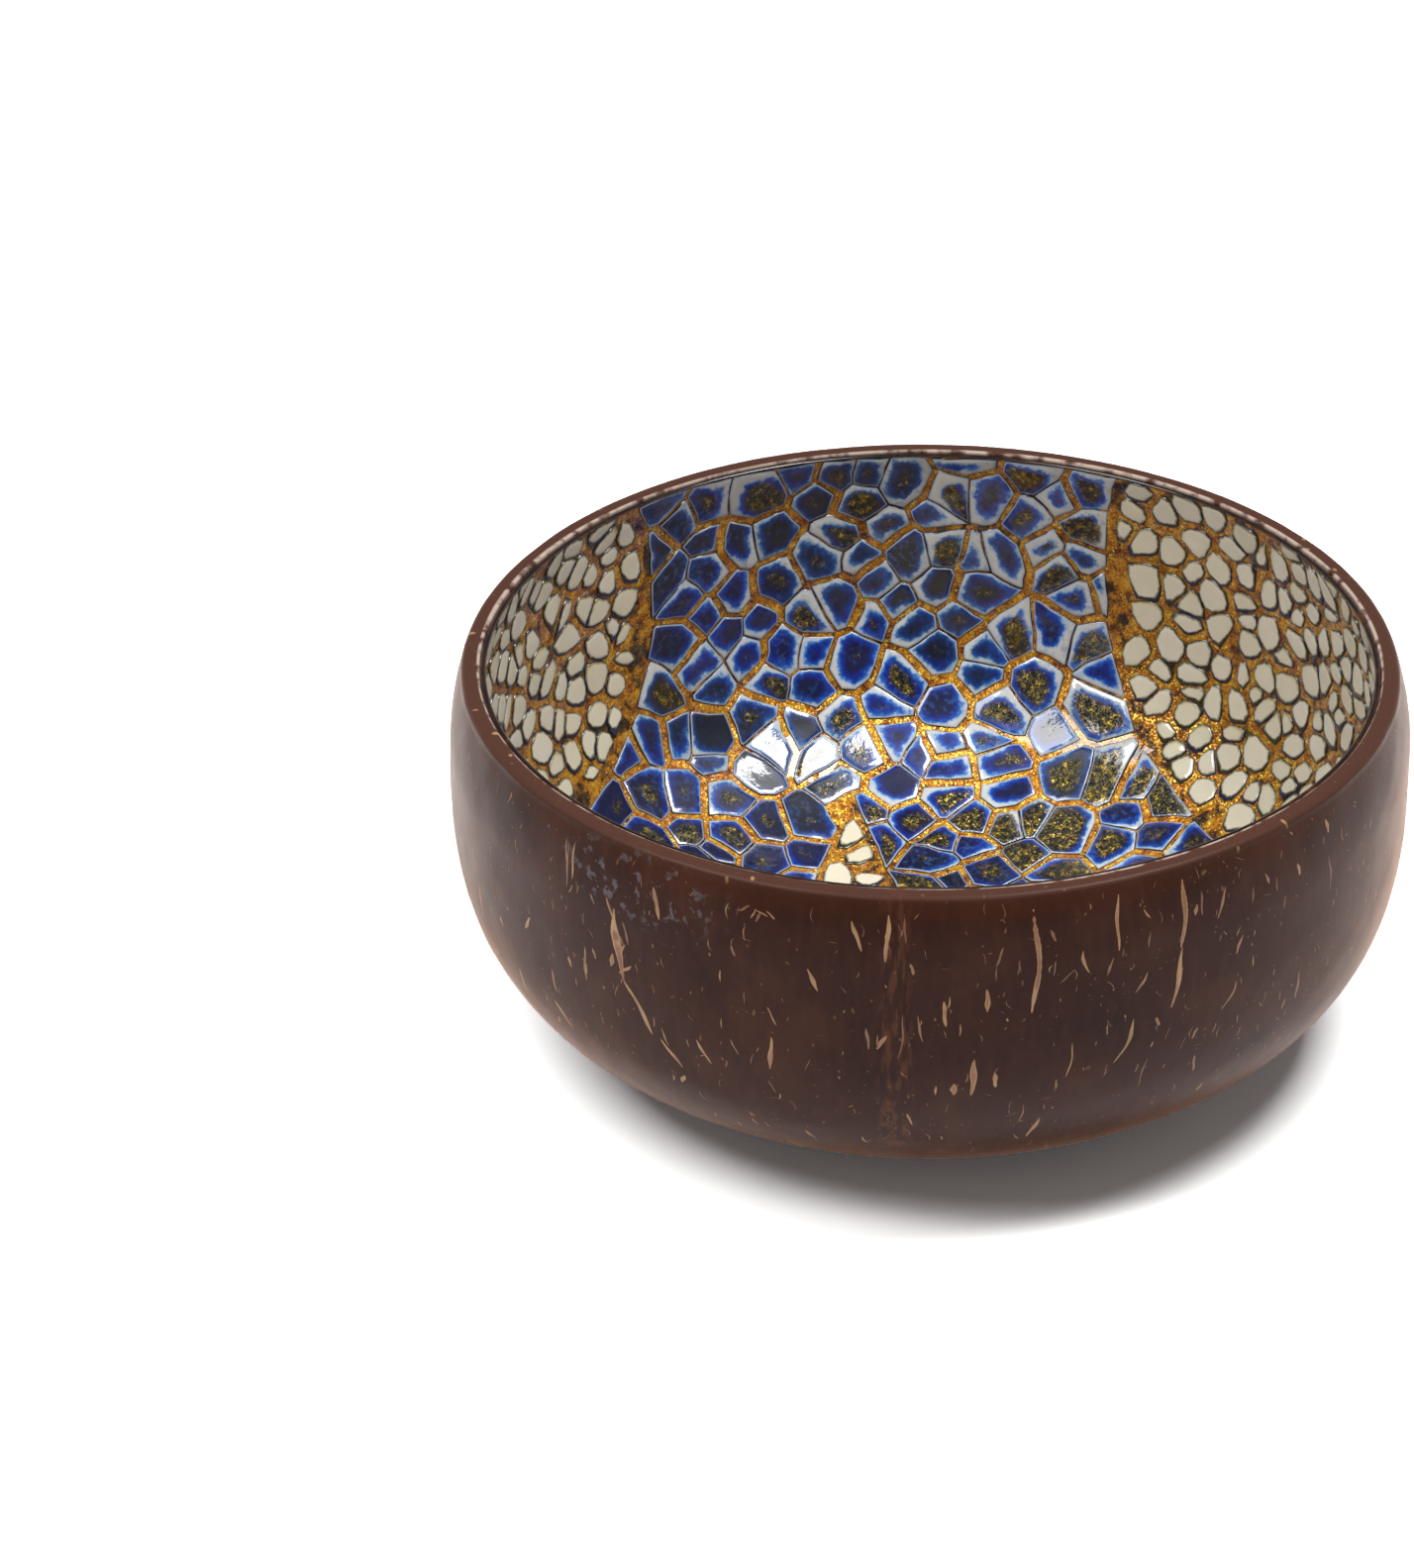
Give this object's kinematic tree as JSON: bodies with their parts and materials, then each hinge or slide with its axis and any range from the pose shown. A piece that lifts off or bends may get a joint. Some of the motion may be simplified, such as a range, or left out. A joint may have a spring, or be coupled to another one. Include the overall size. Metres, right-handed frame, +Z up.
{
  "type": "coconut shell bowl",
  "caption": "Round bowl cut from a coconut shell, flat under its base, lined with a crackled eggshell mosaic in gold lacquer under a clear coat.",
  "frame": {"origin": "centre of the flat base, on the surface that the bowl stands on", "axes": "+Z up along the bowl's axis; -Y is the side that faces the viewer in the picture"},
  "size_m": [0.132, 0.132, 0.055],
  "materials": {
    "coconut_shell": "polished satin, with fibres",
    "gold_lacquer": "glossy, granular gold",
    "clear_lacquer": "glossy clear coat",
    "white_eggshell": "ivory eggshell under a gloss coat",
    "blue_eggshell": "eggshell tinted blue under a gloss coat"
  },
  "bodies": {
    "root": {"shell": "coconut_shell", "ground_lacquer": "gold_lacquer", "clear_lacquer": "clear_lacquer", "tesserae_white_left": "white_eggshell", "tesserae_white_right": "white_eggshell", "tesserae_white_front": "white_eggshell", "tesserae_white_floor": "white_eggshell", "tesserae_blue_floor": "blue_eggshell", "tesserae_blue_back": "blue_eggshell", "tesserae_blue_left": "blue_eggshell", "tesserae_blue_right": "blue_eggshell"}
  },
  "joints": []
}
